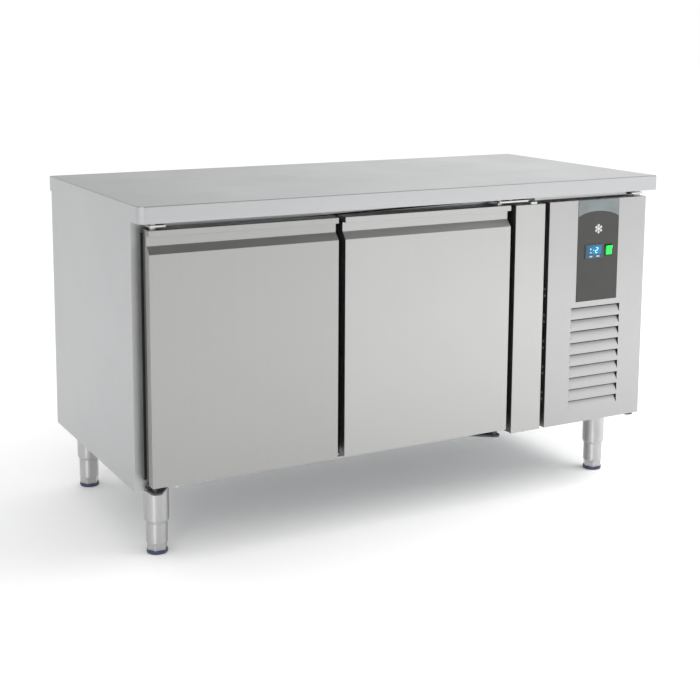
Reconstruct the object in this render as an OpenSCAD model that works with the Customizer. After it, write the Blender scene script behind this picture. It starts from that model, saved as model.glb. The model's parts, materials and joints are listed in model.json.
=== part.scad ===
// Undercounter refrigerator: insulated two-door cabinet with a machine compartment at the right.
// Frame: millimetres, +Z up, origin on the floor under the centre of the worktop.
// +X runs to the right of a person standing at the doors, and the doors face -Y.

/* [Worktop] */
// Width of the worktop
top_w = 1490; // [1470:2:1520]
// Depth of the worktop
top_d = 700; // [690:2:720]
// Height of the worktop's upper face above the floor
top_z = 850; // [840:1:880]
// Height of the worktop's folded edge
top_t = 40; // [36:1:44]
// Plan radius of the front left corner
corner_left = 20; // [8:1:26]
// Plan radius of the other three corners
corner_other = 5; // [3:1:8]
// Thickness of the worktop's sheet
top_sheet = 1.2; // [1:0.1:1.5]
// Thickness of the board glued under the worktop's sheet
core_t = 18; // [12:1:25]

/* [Cabinet] */
// Height of the cabinet's underside above the floor
body_z0 = 174; // [165:1:180]
// From the worktop's front edge back to the cabinet's front plane
setback = 64; // [62:1:70]
// Rear overhang of the worktop
rear_overhang = 10; // [6:1:14]
// Thickness of the cabinet's outer sheets
sheet = 1.2; // [0.8:0.1:1.5]
// Thickness of the insulated side wall
wall_side = 55; // [50:1:60]
// Thickness of the insulated floor, ceiling and back
wall = 50; // [46:1:54]
// Thickness of the inner liner
liner_t = 1; // [0.8:0.1:1.2]

/* [Front] */
// Width of the left door
door_left_w = 479.5; // [470:0.5:485]
// Width of the right door
door_right_w = 485.5; // [476:0.5:490]
// Gap between the two doors
door_gap = 18.5; // [16:0.5:20]
// Gap between the right door and the fixed panel
fixed_gap = 16; // [15:0.5:18]
// Width of the fixed panel
fixed_w = 93.5; // [88:0.5:98]
// Gap between the fixed panel and the compressor panel
comp_gap = 15; // [12:0.5:18]
// Height of the doors' lower edge above the floor
door_z0 = 196; // [194:1:200]
// Gap from the doors' upper edge to the worktop
door_top_gap = 16; // [15:1:18]
// Height of the compressor panel's lower edge above the floor
comp_z0 = 183.5; // [183:0.5:188]

/* [Door grip] */
// Depth of the grip recess
grip_depth = 16; // [12:0.5:18]
// Height of the lip above the recess
lip_h = 14; // [10:0.5:16]
// Height of the recess's upright back
recess_h = 23; // [18:0.5:26]
// Height of the slope from the recess out to the face
slope_h = 17.5; // [14:0.5:20]

/* [Hinges] */
// From the door's hinge edge in to its pivot
pivot_in = 19; // [18:0.5:19]
// From the door's face back to its pivot
pivot_back = 28; // [28:0.5:29]
// Radius of the pivot pins
pin_r = 4; // [3:0.5:4]
// Running clearance of the pins in their bushes
pin_gap = 0.05; // [0.03:0.01:0.08]

/* [Compressor panel] */
// Height of the uppermost louvre slit above the floor
louvre_z = 503; // [495:1:508]
// Number of louvres
louvre_n = 9; // [7:1:9]
// Spacing of the louvres
louvre_pitch = 32.1; // [30:0.1:32.5]
// Length of a louvre
louvre_w = 166; // [150:1:180]
// Height of a louvre
louvre_h = 21.5; // [18:0.5:24]
// How far a louvre's upper edge is pressed in
louvre_in = 7.5; // [5:0.5:9]
// Height of the open slit above a louvre
louvre_drop = 4; // [2:0.5:6]
// Width of the slit at each end of a louvre
louvre_slit = 1.5; // [0.3:0.1:2]
// Width of the dark fascia
fascia_w = 138; // [130:1:150]
// Lower edge of the fascia above the floor
fascia_z0 = 518.5; // [515:0.5:525]

/* [Legs] */
// Radius of the upper leg tube
leg_r = 30; // [28:0.5:32]
// Radius of the lower leg tube
leg_r_low = 25.5; // [24:0.5:26]
// Height of the lower end of the upper tube
leg_step_z = 75.5; // [60:0.5:90]
// Height of the hexagonal screw foot
foot_z1 = 27; // [24:1:32]
// Height of the foot's dark pad
pad_h = 9; // [6:0.5:12]

/* [Hidden] */
$fn = 48;

// main planes of the cabinet
top_z0 = top_z - top_t;
front_y = -top_d / 2 + setback;
back_y = top_d / 2 - rear_overhang;
side_x = top_w / 2 - 2;
face_y = -top_d / 2 + 8;
flange = 24;
rear_flange = 20;
hem = 30;
breaker_t = 3;

// front row, from left to right
dl_x0 = -side_x + flange;
dl_x1 = dl_x0 + door_left_w;
dr_x0 = dl_x1 + door_gap;
dr_x1 = dr_x0 + door_right_w;
fix_x0 = dr_x1 + fixed_gap;
fix_x1 = fix_x0 + fixed_w;
comp_x0 = fix_x1 + comp_gap;
comp_x1 = side_x - 28.5;
comp_x = (comp_x0 + comp_x1) / 2;
door_z1 = top_z0 - door_top_gap;
comp_back_y = front_y - 6;

// pivots of the doors and of the compressor panel
pivot_y = face_y + pivot_back;
pivot_l = dl_x0 + pivot_in;
pivot_r = dr_x1 - pivot_in;
pivot_c = side_x - 43;
bush_r = 8;
bush_l = 20;

// chamber
part_x = fix_x1 - 3;
in_x0 = -side_x + wall_side;
in_x1 = part_x - 45;
in_y1 = back_y - wall;
in_z0 = body_z0 + wall;
in_z1 = top_z0 - wall;
jamb_y = front_y + 36;
open_x1 = dr_x1 - 32.5;
mull_x0 = dl_x1 - 22.5;
mull_x1 = dr_x0 + 23;
bay_l = (in_x0 + mull_x0) / 2;
bay_r = (mull_x1 + open_x1) / 2;

// for every hinged leaf: pivot, foot of its lower tongue, ends of its upper plate, lower edge
hinges = [[pivot_l, dl_x0, dl_x0 + 59, pivot_l - 12, pivot_l + 25, door_z0],
    [pivot_r, dr_x1 - 83, dr_x1 - 8, pivot_r - 10, fix_x0 + 46, door_z0],
    [pivot_c, pivot_c - 46, side_x - flange, pivot_c - 25, pivot_c + 12, comp_z0]];

// sill nose below the doors and the hinge tongues that leave it
nose_z0 = body_z0 + 4;
nose_z1 = body_z0 + 8;
nose_y = front_y - 10;
tongue_z = body_z0;
tongue_t = 5;
tongue_r = 15;
plate_z = top_z0 - 11;
head_r = 6.5;
// strip that closes the space above the compressor panel
strip_x0 = fix_x1 - 16;
strip_x1 = pivot_c - 32;
strip_y = face_y + 26;
strip_z0 = door_z1 + 4;
rail_z0 = body_z0 + 27;
rail_z1 = top_z0 - 27;

// door section
slope_z0 = door_z1 - lip_h - recess_h - slope_h;
slope_z1 = slope_z0 + slope_h;
lip_z = door_z1 - lip_h;
recess_y = face_y + grip_depth;
shell_back_y = face_y + 26;
return_back_y = face_y + 44;
liner_back_y = face_y + 50;
gasket_back_y = front_y - 0.5;
gasket_w = 14;
door_sheet = 1.5;

// controls on the fascia
fascia_t = 1;
fascia_y = face_y - fascia_t;
ctrl_x0 = comp_x - 42.5;
ctrl_x1 = ctrl_x0 + 60;
ctrl_z0 = fascia_z0 + 116.5;
ctrl_z1 = ctrl_z0 + 37.5;
key_w = 10;
key_h = 4;
key_z = ctrl_z0 + 3;
key_x = [ctrl_x0 + 13, ctrl_x0 + 37];
sw_x0 = comp_x + 25.5;
sw_x1 = sw_x0 + 23;
sw_z0 = fascia_z0 + 121.5;
sw_z1 = sw_z0 + 30;
sw_rim = 1.6;
rocker_half = 12.4;
rocker_pin_r = 2;
rocker_tilt = 8;

// legs
leg_x_l = -side_x + 71;
leg_x_r = side_x - 97;
leg_y_f = front_y + 51;
leg_y_b = back_y - 46;
legs = [[leg_x_l, leg_y_f], [leg_x_r, leg_y_f], [leg_x_l, leg_y_b], [leg_x_r, leg_y_b]];
leg_plate = 4;

// shelf racks
post = 20;
post_off = 190;
post_y = [front_y + 56, in_y1 - 40];
levels = [330, 470, 610];
shelf_level = 470;
shelf_half = 162.5;
shelf_y0 = front_y + 41;
shelf_y1 = in_y1 - 5;
rod = 3;
wire = 1.5;

// evaporator
evap_fan_y = 20;
evap_fan_z = 600;
evap_fan_r = 82;
evap_hole_r = 88;

// machine compartment
fan_x = part_x + 184;
fan_z = body_z0 + 141;
fan_r = 98;
coil_x0 = fan_x - 125;
coil_x1 = fan_x + 125;
coil_y0 = front_y + 36;
coil_y1 = coil_y0 + 45;
coil_z0 = body_z0 + 3;
coil_z1 = body_z0 + 266;
shroud_y0 = coil_y1 + 2;
shroud_y1 = shroud_y0 + 28;
pot_x = part_x + 229;
pot_y = 180;
pot_r = 66;
pot_z0 = body_z0 + 26;
pot_h = 180;

// ---- helpers ----

// a box given by its limits
module box(x0, x1, y0, y1, z0, z1) {
    translate([x0, y0, z0])
        cube([x1 - x0, y1 - y0, z1 - z0]);
}

// extrudes a Y-Z section from x0 to x1
module along_x(x0, x1) {
    translate([x0, 0, 0])
        rotate([90, 0, 90])
            linear_extrude(x1 - x0)
                children();
}

// a cylinder whose axis is parallel to Y
module rod_y(x, z, r, y0, y1) {
    translate([x, y0, z])
        rotate([-90, 0, 0])
            cylinder(r = r, h = y1 - y0);
}

// a cylinder whose axis is parallel to X
module rod_x(y, z, r, x0, x1) {
    translate([x0, y, z])
        rotate([0, 90, 0])
            cylinder(r = r, h = x1 - x0);
}

// an upright cylinder
module rod_z(x, y, r, z0, z1) {
    translate([x, y, z0])
        cylinder(r = r, h = z1 - z0);
}

// plan outline of the worktop, inset by d
module top_outline(d) {
    x = top_w / 2 - d;
    y = top_d / 2 - d;
    rl = corner_left - d;
    ro = corner_other - d;
    difference() {
        square([2 * x, 2 * y], center = true);
        translate([-x, -y])
            square(2 * rl, center = true);
        for (s = [[1, -1], [-1, 1], [1, 1]])
            translate([s[0] * x, s[1] * y])
                square(2 * ro, center = true);
    }
    translate([-x + rl, -y + rl])
        circle(rl);
    for (s = [[1, -1], [-1, 1], [1, 1]])
        translate([s[0] * (x - ro), s[1] * (y - ro)])
            circle(ro);
}

// a frame of rectangular section standing in the X-Z plane
module ring_xz(x0, x1, z0, z1, w, y0, y1) {
    difference() {
        box(x0, x1, y0, y1, z0, z1);
        box(x0 + w, x1 - w, y0 - 1, y1 + 1, z0 + w, z1 - w);
    }
}

// ---- worktop ----

module worktop() {
    color([0.78, 0.80, 0.81])
        difference() {
            translate([0, 0, top_z0])
                linear_extrude(top_t)
                    top_outline(0);
            translate([0, 0, top_z0 + top_sheet])
                linear_extrude(top_t - 2 * top_sheet)
                    top_outline(top_sheet);
            // the hem turned in along the lower edge leaves the middle open
            translate([0, 0, top_z0 - 1])
                linear_extrude(3)
                    square([top_w - 2 * hem, top_d - 2 * hem], center = true);
        }
}

module worktop_core() {
    color([0.55, 0.42, 0.28])
        translate([0, 0, top_z - top_sheet - core_t])
            linear_extrude(core_t)
                top_outline(top_sheet);
}

// ---- outer cabinet ----

// side sheet with its front and rear flanges; s = -1 left, 1 right
module side_panel(s) {
    color([0.76, 0.77, 0.77])
        translate([0, 0, body_z0])
            linear_extrude(top_z0 - body_z0)
                mirror([s < 0 ? 1 : 0, 0])
                    union() {
                        translate([side_x - sheet, front_y])
                            square([sheet, back_y - front_y]);
                        translate([side_x - flange, front_y])
                            square([flange, sheet]);
                        translate([side_x - rear_flange, back_y - sheet])
                            square([rear_flange, sheet]);
                    }
}

module rear_panel() {
    color([0.70, 0.71, 0.72])
        box(-side_x + sheet, part_x, back_y - 2 * sheet, back_y - sheet, body_z0, top_z0);
}

module rear_grille() {
    slot_w = 90;
    color([0.70, 0.71, 0.72])
        difference() {
            box(part_x + sheet, side_x - sheet, back_y - 2 * sheet, back_y - sheet,
                body_z0, top_z0);
            for (i = [0 : 13])
                for (j = [0 : 2])
                    translate([part_x + 36 + j * 108, 0, body_z0 + 120 + i * 34])
                        box(0, slot_w, back_y - 3 * sheet, back_y, 0, 9);
            rod_y(side_x - 50, body_z0 + 56, 8.2, back_y - 10, back_y + 10);
        }
}

module base_pan() {
    color([0.70, 0.71, 0.72])
        box(-side_x + sheet, side_x - sheet, front_y + sheet, back_y - 2 * sheet,
            body_z0, body_z0 + sheet);
}

// plan of a lower hinge tongue: from its foot on the cabinet to the round tip at the pivot
module tongue_plan(h, grow) {
    polygon([[h[1] - grow, front_y + sheet], [h[2] + grow, front_y + sheet],
        [h[0] + tongue_r * 0.9, pivot_y - tongue_r * 0.4],
        [h[0] - tongue_r * 0.9, pivot_y - tongue_r * 0.4]]);
    translate([h[0], pivot_y])
        circle(tongue_r + grow);
}

module front_rails() {
    x = side_x - flange;
    color([0.74, 0.76, 0.78]) {
        // sill: upright strip and the nose in front of it
        difference() {
            union() {
                box(-x, x, front_y, front_y + sheet, body_z0, rail_z0);
                box(-x, x, nose_y, front_y, nose_z0, nose_z1);
            }
            for (h = hinges)
                translate([0, 0, tongue_z - 0.2])
                    linear_extrude(tongue_t + 0.4)
                        tongue_plan(h, 0.4);
        }
        // header under the worktop and the strip in front of it
        box(-x, x, front_y, front_y + sheet, rail_z1, top_z0);
        box(strip_x0, strip_x1, strip_y, front_y, strip_z0, top_z0 - 0.5);
    }
}

module breaker_frame() {
    color([0.08, 0.08, 0.08])
        difference() {
            box(-side_x + flange, part_x, front_y, front_y + breaker_t, rail_z0, rail_z1);
            box(in_x0, mull_x0, front_y - 1, front_y + 5, in_z0, in_z1);
            box(mull_x1, open_x1, front_y - 1, front_y + 5, in_z0, in_z1);
        }
}

// inside of the chamber, grown by d
module chamber(d) {
    box(in_x0 - d, in_x1 + d, jamb_y - d, in_y1 + d, in_z0 - d, in_z1 + d);
    box(in_x0 - d, open_x1 + d, front_y + breaker_t, jamb_y + 5, in_z0 - d, in_z1 + d);
}

module insulation() {
    color([0.93, 0.88, 0.70]) {
        difference() {
            box(-side_x + sheet, part_x, front_y + breaker_t, back_y - 2 * sheet,
                body_z0 + sheet, top_z0);
            chamber(liner_t);
        }
        // core of the fixed panel
        box(fix_x0 + sheet, fix_x1 - sheet, face_y + sheet, front_y,
            nose_z1 + 1 + sheet, door_z1 - 1.5 - sheet);
    }
}

module liner() {
    color([0.80, 0.81, 0.82])
        difference() {
            chamber(liner_t);
            chamber(0);
        }
}

module centre_mullion() {
    color([0.75, 0.76, 0.77])
        difference() {
            box(mull_x0, mull_x1, front_y + breaker_t, jamb_y, in_z0, in_z1);
            box(mull_x0 + sheet, mull_x1 - sheet, front_y, jamb_y - sheet,
                in_z0 - 1, in_z1 + 1);
        }
}

module partition_panel() {
    color([0.70, 0.71, 0.72])
        box(part_x, part_x + sheet, front_y + breaker_t, back_y - 2 * sheet,
            body_z0 + sheet, top_z0);
}

module fixed_panel() {
    color([0.80, 0.81, 0.81])
        difference() {
            box(fix_x0, fix_x1, face_y, front_y, nose_z1 + 1, door_z1 - 1.5);
            box(fix_x0 + sheet, fix_x1 - sheet, face_y + sheet, front_y + 1,
                nose_z1 + 1 + sheet, door_z1 - 1.5 - sheet);
        }
}

// ---- hinges ----

module hinge_tongues() {
    color([0.30, 0.31, 0.32])
        for (h = hinges)
            difference() {
                union() {
                    translate([0, 0, tongue_z])
                        linear_extrude(tongue_t)
                            tongue_plan(h, 0);
                    rod_z(h[0], pivot_y, bush_r, tongue_z, h[5] - 0.5);
                }
                rod_z(h[0], pivot_y, pin_r + 0.02, tongue_z - 1, h[5]);
            }
}

module hinge_plates() {
    color([0.72, 0.73, 0.74])
        for (h = hinges)
            difference() {
                union() {
                    box(h[3], h[4], pivot_y - 17, front_y, plate_z, plate_z + tongue_t);
                    rod_z(h[0], pivot_y, bush_r, door_z1 + 0.5, plate_z + 1);
                }
                rod_z(h[0], pivot_y, pin_r + 0.02, door_z1, top_z0);
            }
}

module hinge_pins() {
    color([0.75, 0.75, 0.75])
        for (h = hinges) {
            rod_z(h[0], pivot_y, pin_r, tongue_z - 1, h[5] + bush_l - 3);
            rod_z(h[0], pivot_y, head_r, tongue_z - 4, tongue_z);
            rod_z(h[0], pivot_y, pin_r, door_z1 - bush_l + 3, plate_z + tongue_t + 1);
            rod_z(h[0], pivot_y, head_r, plate_z + tongue_t, plate_z + tongue_t + 4);
        }
}

// two bushes with running bores, at the lower and upper end of a leaf
module bushes(xp, z0, z1) {
    color([0.85, 0.84, 0.80])
        for (z = [z0, z1 - bush_l])
            difference() {
                rod_z(xp, pivot_y, bush_r, z, z + bush_l);
                rod_z(xp, pivot_y, pin_r + pin_gap, z - 1, z + bush_l + 1);
            }
}

// space taken by the bushes of a leaf
module bush_space(xp, z0, z1) {
    rod_z(xp, pivot_y, bush_r, z0 - 1, z0 + bush_l);
    rod_z(xp, pivot_y, bush_r, z1 - bush_l, z1 + 1);
}

module panel_catches() {
    color([0.12, 0.12, 0.13])
        for (z = [comp_z0 + 2.5, door_z1 - 11])
            box(comp_x0 + 20, comp_x0 + 56, comp_back_y + 0.4, front_y, z, z + 11);
}

// ---- doors ----

// upright section of a door's outer sheet, inset by t
module door_section(t) {
    m = slope_h / grip_depth;
    drop = t * (m - sqrt(1 + m * m));
    polygon([[face_y + t, door_z0 + t], [face_y + t, slope_z0 + drop],
        [recess_y + t, slope_z1 + drop], [recess_y + t, lip_z + t],
        [face_y + t, lip_z + t], [face_y + t, door_z1 - t],
        [return_back_y, door_z1 - t], [return_back_y, door_z0 + t]]);
}

module door_shell(x0, x1, xp) {
    color([0.80, 0.81, 0.81])
        difference() {
            along_x(x0, x1)
                door_section(0);
            along_x(x0 + door_sheet, x1 - door_sheet)
                door_section(door_sheet);
            // the side returns are shallower than the top and bottom ones
            box(x0 - 1, x1 + 1, shell_back_y, return_back_y + 1,
                door_z0 + door_sheet, door_z1 - door_sheet);
            bush_space(xp, door_z0, door_z1);
        }
}

module door_core(x0, x1, xp) {
    color([0.93, 0.88, 0.70])
        difference() {
            union() {
                intersection() {
                    along_x(x0 + door_sheet, x1 - door_sheet)
                        door_section(door_sheet);
                    box(x0, x1, face_y, shell_back_y, door_z0, door_z1);
                }
                box(x0 + 5, x1 - 5, shell_back_y, liner_back_y - door_sheet,
                    door_z0 + 5, door_z1 - 5);
            }
            bush_space(xp, door_z0, door_z1);
        }
}

module door_liner(x0, x1, xp) {
    color([0.20, 0.20, 0.21])
        difference() {
            box(x0 + 3.5, x1 - 3.5, shell_back_y, liner_back_y, door_z0 + 3.5, door_z1 - 3.5);
            box(x0 + 5, x1 - 5, shell_back_y - 1, liner_back_y - door_sheet,
                door_z0 + 5, door_z1 - 5);
            bush_space(xp, door_z0, door_z1);
        }
}

// seal ring; xh is its edge on the hinge side, xf on the free side
module door_gasket(xh, xf) {
    color([0.13, 0.13, 0.13])
        ring_xz(min(xh, xf), max(xh, xf), door_z0 + 7, door_z1 - 7, gasket_w,
            liner_back_y, gasket_back_y);
}

// ---- compressor panel and its controls ----

module compressor_panel() {
    z1 = door_z1;
    x0 = comp_x - louvre_w / 2;
    x1 = comp_x + louvre_w / 2;
    color([0.82, 0.82, 0.82]) {
        difference() {
            box(comp_x0, comp_x1, face_y, comp_back_y, comp_z0, z1);
            box(comp_x0 + sheet, comp_x1 - sheet, face_y + sheet, comp_back_y + 1,
                comp_z0 + sheet, z1 - sheet);
            for (i = [0 : louvre_n - 1])
                translate([0, 0, louvre_z - i * louvre_pitch])
                    box(x0, x1, face_y - 1, face_y + sheet + 1, -louvre_h, 0);
            // cut-outs behind the controller and the switch
            box(ctrl_x0 + 3, ctrl_x1 - 3, face_y - 1, face_y + 3, ctrl_z0 + 2, ctrl_z1 - 2);
            box(sw_x0 + 0.7, sw_x1 - 0.7, face_y - 1, face_y + 3, sw_z0 + 0.7, sw_z1 - 0.7);
            bush_space(pivot_c, comp_z0, z1);
        }
        // louvres, pressed in along their upper edges
        for (i = [0 : louvre_n - 1])
            translate([0, 0, louvre_z - i * louvre_pitch])
                along_x(x0 + louvre_slit, x1 - louvre_slit)
                    polygon([[face_y, -louvre_h], [face_y + louvre_in, -louvre_drop],
                        [face_y + louvre_in + sheet, -louvre_drop],
                        [face_y + sheet, -louvre_h - 0.5], [face_y, -louvre_h - 0.5]]);
    }
}

// pairs of rivets in the panel's left return
module panel_rivets() {
    color([0.80, 0.80, 0.80])
        for (i = [0 : 4])
            for (dz = [0, 18])
                rod_x(face_y + 14.5, comp_z0 + 77 + i * 70.5 + dz, 3.5,
                    comp_x0 - 0.8, comp_x0);
}

module fascia() {
    color([0.27, 0.28, 0.27])
        difference() {
            box(comp_x - fascia_w / 2 + 1, comp_x + fascia_w / 2 + 1, fascia_y, face_y,
                fascia_z0, door_z1);
            box(ctrl_x0 + 3, ctrl_x1 - 3, fascia_y - 1, face_y + 1, ctrl_z0 + 2, ctrl_z1 - 2);
            box(sw_x0 + 0.7, sw_x1 - 0.7, fascia_y - 1, face_y + 1, sw_z0 + 0.7, sw_z1 - 0.7);
        }
}

module controller() {
    color([0.10, 0.14, 0.20])
        difference() {
            union() {
                box(ctrl_x0, ctrl_x1, fascia_y - 2, fascia_y, ctrl_z0, ctrl_z1);
                box(ctrl_x0 + 3.3, ctrl_x1 - 3.3, fascia_y, fascia_y + 42,
                    ctrl_z0 + 2.3, ctrl_z1 - 2.3);
            }
            // window of the display
            box(ctrl_x0 + 5, ctrl_x1 - 5, fascia_y - 3, fascia_y - 1, ctrl_z0 + 10, ctrl_z1 - 4);
            // wells of the two keys
            for (x = key_x)
                box(x - 0.3, x + key_w + 0.3, fascia_y - 3, fascia_y + 4,
                    key_z - 0.3, key_z + key_h + 0.3);
        }
}

// key number i of the controller
module key(i) {
    color([0.75, 0.80, 0.85])
        box(key_x[i], key_x[i] + key_w, fascia_y - 2.8, fascia_y + 2, key_z, key_z + key_h);
}

module switch_housing() {
    color([0.06, 0.06, 0.06])
        difference() {
            union() {
                box(sw_x0, sw_x1, fascia_y - 2, fascia_y, sw_z0, sw_z1);
                box(sw_x0 + 1, sw_x1 - 1, fascia_y, fascia_y + 26, sw_z0 + 1, sw_z1 - 1);
            }
            box(sw_x0 + sw_rim, sw_x1 - sw_rim, fascia_y - 3, fascia_y + 16,
                sw_z0 + sw_rim, sw_z1 - sw_rim);
            // bearings of the rocker
            rod_x(face_y, (sw_z0 + sw_z1) / 2, rocker_pin_r + pin_gap,
                sw_x0 + 0.9, sw_x1 - 0.9);
        }
}

// rocker resting with its lower end pressed in
module switch_rocker() {
    color([0.10, 0.95, 0.35])
        translate([0, face_y, (sw_z0 + sw_z1) / 2])
            rotate([rocker_tilt, 0, 0]) {
                along_x(sw_x0 + sw_rim + 0.4, sw_x1 - sw_rim - 0.4)
                    polygon([[-5.5, -rocker_half], [-4, 0], [-5.5, rocker_half],
                        [2, rocker_half - 3], [6, 0], [2, 3 - rocker_half]]);
                rod_x(0, 0, rocker_pin_r, sw_x0 + 1.2, sw_x1 - 1.2);
            }
}

// ---- legs ----

module leg_tubes_upper() {
    tube = 3;
    plate = 45;
    color([0.72, 0.73, 0.74])
        for (p = legs)
            translate([p[0], p[1], 0]) {
                rotate_extrude()
                    polygon([[leg_r, leg_step_z + 10], [leg_r_low + 0.3, leg_step_z],
                        [leg_r_low + 0.05, leg_step_z], [leg_r_low + 0.05, leg_step_z + 6],
                        [leg_r - tube, leg_step_z + 11], [leg_r - tube, body_z0 - leg_plate],
                        [leg_r, body_z0 - leg_plate]]);
                box(-plate, plate, -plate, plate, body_z0 - leg_plate, body_z0);
            }
}

module leg_tubes_lower() {
    color([0.72, 0.73, 0.74])
        for (p = legs)
            translate([p[0], p[1], foot_z1])
                difference() {
                    cylinder(r = leg_r_low, h = 95);
                    translate([0, 0, -1])
                        cylinder(r = leg_r_low - 2, h = 100);
                }
}

// screw foot: threaded stem, hexagon for the spanner and round pad
module foot(i) {
    color([0.16, 0.17, 0.22])
        translate([legs[i][0], legs[i][1], 0]) {
            rotate_extrude()
                polygon([[0, 0], [leg_r_low - 1.5, 0], [leg_r_low, 2],
                    [leg_r_low, pad_h], [0, pad_h]]);
            translate([0, 0, pad_h])
                cylinder(r = leg_r_low, h = foot_z1 - pad_h - 0.5, $fn = 6);
            translate([0, 0, foot_z1 - 1])
                cylinder(r = leg_r_low - 2.5, h = 50);
        }
}

// ---- chamber fittings ----

// four posts in each compartment and the runners they carry
module shelf_racks() {
    ledge = 34;
    t = 1.5;
    l = post_y[1] + post - post_y[0];
    color([0.72, 0.73, 0.74])
        for (c = [bay_l, bay_r])
            for (m = [0, 1])
                translate([c, 0, 0])
                    mirror([m, 0, 0]) {
                        for (y = post_y)
                            box(post_off, post_off + post, y, y + post, in_z0, in_z1);
                        for (z = levels) {
                            translate([post_off - ledge, post_y[0], z])
                                cube([ledge, l, t]);
                            translate([post_off - t, post_y[0], z])
                                cube([t, l, 20]);
                        }
                    }
}

// wire grid that lies on a pair of runners
module wire_shelf(c) {
    z = shelf_level + 1.5 + rod;
    n = 17;
    for (s = [-1, 1])
        rod_y(c + s * shelf_half, z, rod, shelf_y0, shelf_y1);
    for (y = [shelf_y0 + rod, shelf_y1 - rod])
        rod_x(y, z, rod, c - shelf_half, c + shelf_half);
    for (i = [1 : n])
        rod_y(c - shelf_half + i * 2 * shelf_half / (n + 1), z, wire,
            shelf_y0 + rod, shelf_y1 - rod);
}

module wire_shelves() {
    color([0.85, 0.85, 0.85])
        for (c = [bay_l, bay_r])
            wire_shelf(c);
}

module evaporator_cover() {
    color([0.80, 0.81, 0.82])
        difference() {
            box(open_x1, open_x1 + sheet, jamb_y, in_y1, in_z0, in_z1);
            rod_x(evap_fan_y, evap_fan_z, evap_hole_r, open_x1 - 5, open_x1 + 5);
            // return air slots
            for (y = [jamb_y + 40, jamb_y + 280])
                box(open_x1 - 1, open_x1 + 3, y, y + 200, in_z0 + 30, in_z0 + 76);
        }
}

module evaporator_coil() {
    x0 = open_x1 + 26;
    x1 = in_x1 - 12;
    color([0.72, 0.74, 0.76]) {
        box(x0, x1, jamb_y + 40, in_y1 - 40, in_z0 + 46, in_z0 + 246);
        for (y = [jamb_y + 36, in_y1 - 40])
            box(x0 - 4, in_x1, y, y + 4, in_z0 + 40, in_z0 + 252);
    }
}

module evaporator_motor() {
    x0 = open_x1 + 34;
    color([0.15, 0.15, 0.16]) {
        rod_x(evap_fan_y, evap_fan_z, 32, x0, x0 + 44);
        for (a = [0, 120, 240])
            translate([x0 + 4, evap_fan_y, evap_fan_z])
                rotate([a, 0, 0])
                    translate([0, -4, 20])
                        cube([4, 8, evap_hole_r - 10]);
        // legs that stand on the cover
        for (a = [0, 120, 240])
            translate([open_x1 + sheet, evap_fan_y, evap_fan_z])
                rotate([a, 0, 0])
                    translate([0, -4, evap_hole_r + 2])
                        cube([34 - sheet + 8, 8, 8]);
    }
}

// a fan with its axis along local Z: hub and pitched blades
module fan_rotor(r, hub_r, hub_h, n) {
    cylinder(r = hub_r, h = hub_h);
    for (i = [0 : n - 1])
        rotate([0, 0, i * 360 / n])
            translate([hub_r - 4, 0, hub_h / 2])
                rotate([28, 0, 0])
                    translate([0, -r * 0.24, -0.9])
                        cube([r - hub_r, r * 0.48, 1.8]);
}

module evaporator_fan() {
    color([0.55, 0.58, 0.62])
        translate([open_x1 + 8, evap_fan_y, evap_fan_z])
            rotate([0, 90, 0])
                fan_rotor(evap_fan_r, 26, 24, 5);
}

module drip_tray() {
    color([0.75, 0.76, 0.77])
        difference() {
            box(open_x1 + 10, in_x1 - 4, jamb_y + 20, in_y1 - 20, in_z0, in_z0 + 24);
            box(open_x1 + 11.5, in_x1 - 5.5, jamb_y + 21.5, in_y1 - 21.5,
                in_z0 + 1.5, in_z0 + 25);
        }
}

// ---- machine compartment ----

module condenser_coil() {
    bend_r = 11;
    color([0.62, 0.60, 0.56]) {
        box(coil_x0 + 14, coil_x1 - 14, coil_y0, coil_y1, coil_z0 + 6, coil_z1);
        for (x = [coil_x0 + 12, coil_x1 - 14])
            box(x, x + 2, coil_y0 - 2, coil_y1, coil_z0, coil_z1);
        // return bends on the right
        for (i = [0 : 4])
            translate([coil_x1 - 12, (coil_y0 + coil_y1) / 2, coil_z0 + 40 + i * 46])
                rotate([90, 0, 0])
                    rotate_extrude(angle = 360)
                        translate([bend_r, 0])
                            circle(3.5);
    }
}

module fan_shroud() {
    color([0.70, 0.71, 0.72])
        difference() {
            box(coil_x0, coil_x1, shroud_y0, shroud_y1, coil_z0, coil_z1);
            rod_y(fan_x, fan_z, fan_r + 7, shroud_y0 - 1, shroud_y1 + 1);
        }
}

module condenser_motor() {
    y = shroud_y1;
    color([0.14, 0.14, 0.15]) {
        rod_y(fan_x, fan_z, 38, y + 3, y + 62);
        for (s = [-1, 1])
            box(coil_x0 + 6, coil_x1 - 6, y, y + 4, fan_z + s * 20 - 6, fan_z + s * 20 + 6);
    }
}

module condenser_fan() {
    color([0.45, 0.47, 0.50])
        translate([fan_x, shroud_y1 - 4, fan_z])
            rotate([90, 0, 0])
                fan_rotor(fan_r, 30, 22, 5);
}

module compressor() {
    foot_x = 72;
    foot_y = 48;
    color([0.08, 0.08, 0.09]) {
        // welded pot with domed ends
        translate([pot_x, pot_y, pot_z0])
            rotate_extrude()
                polygon(concat([[0, 0]],
                    [for (a = [-90 : 10 : 0])
                        [pot_r - 30 + 30 * cos(a), 30 + 30 * sin(a)]],
                    [for (a = [0 : 10 : 90]) [pot_r * cos(a), pot_h - 60 + 60 * sin(a)]]));
        box(pot_x - foot_x - 14, pot_x + foot_x + 14, pot_y - foot_y - 14, pot_y + foot_y + 14,
            pot_z0 - 4, pot_z0);
        for (sx = [-1, 1])
            for (sy = [-1, 1])
                rod_z(pot_x + sx * foot_x, pot_y + sy * foot_y, 12,
                    body_z0 + 3, pot_z0 - 4);
        // suction and discharge stubs
        for (dx = [-20, 20])
            rod_z(pot_x + dx, pot_y, 7, pot_z0 + 120, pot_z0 + pot_h + 10);
    }
}

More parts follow.
